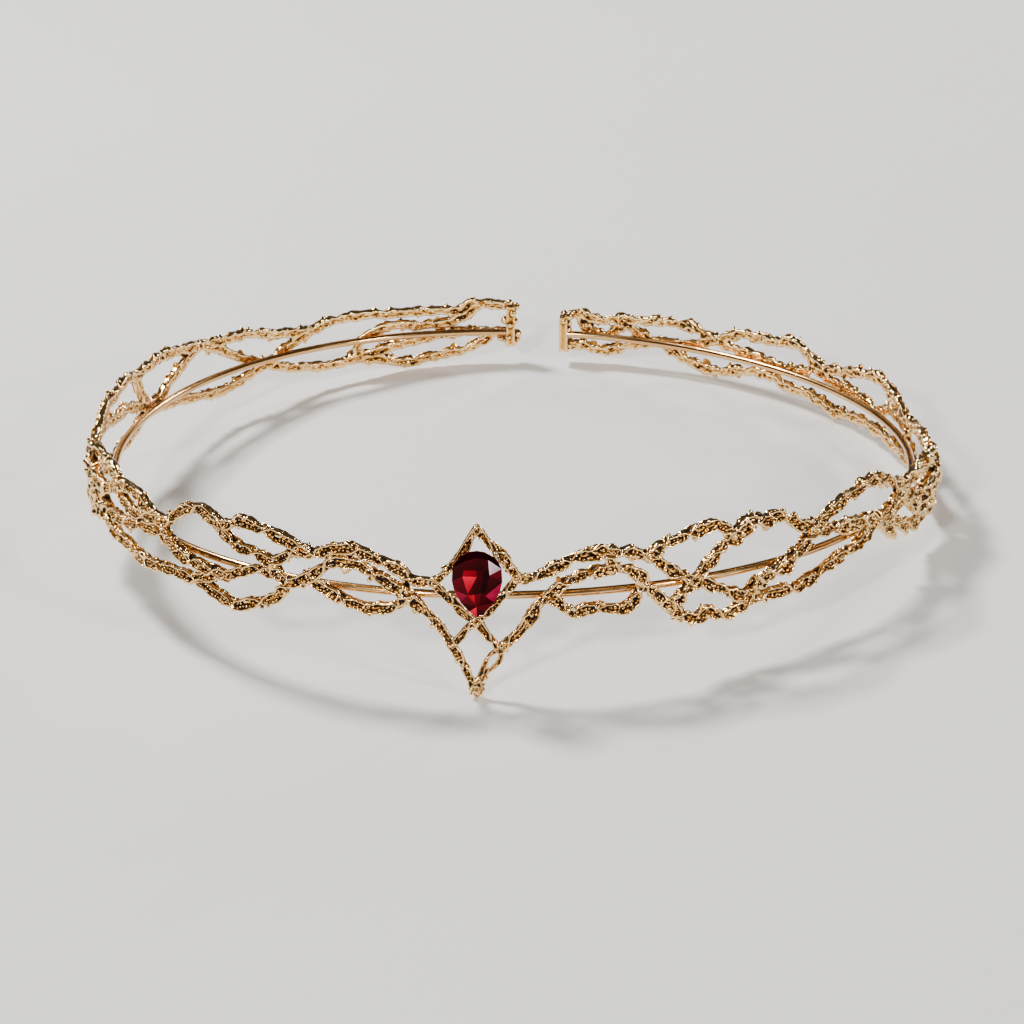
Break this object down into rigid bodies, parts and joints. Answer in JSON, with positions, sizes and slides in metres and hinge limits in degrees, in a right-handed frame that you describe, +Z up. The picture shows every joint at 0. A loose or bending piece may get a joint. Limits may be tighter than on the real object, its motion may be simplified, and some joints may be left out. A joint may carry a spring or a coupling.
{
  "type": "twig circlet crown with a pear-cut stone",
  "caption": "Open-backed gilt circlet of two pierced twig lattices on a round wire hoop, with a kite-shaped front frame and a pear-cut red stone",
  "frame": {"origin": "middle of the bounding box seen from above, on the surface that the circlet rests on", "axes": "+Z up, the stone and the drop face -Y, the open back faces +Y, +X is on the viewer's right"},
  "size_m": [0.166, 0.1648, 0.0319],
  "materials": {
    "cast_gilt": "gilt casting, bright on its ridges and grains, dark in its recesses",
    "drawn_gilt_wire": "drawn wire, gilt and polished smooth",
    "red_stone": "deep red cut stone with polished facets"
  },
  "bodies": {
    "root": {"band_wire": "drawn_gilt_wire", "left_twig_lattice": "cast_gilt", "right_twig_lattice": "cast_gilt", "centre_frame": "cast_gilt", "stone_setting": "cast_gilt", "red_stone": "red_stone", "left_end_bar": "cast_gilt", "right_end_bar": "cast_gilt"}
  },
  "joints": []
}
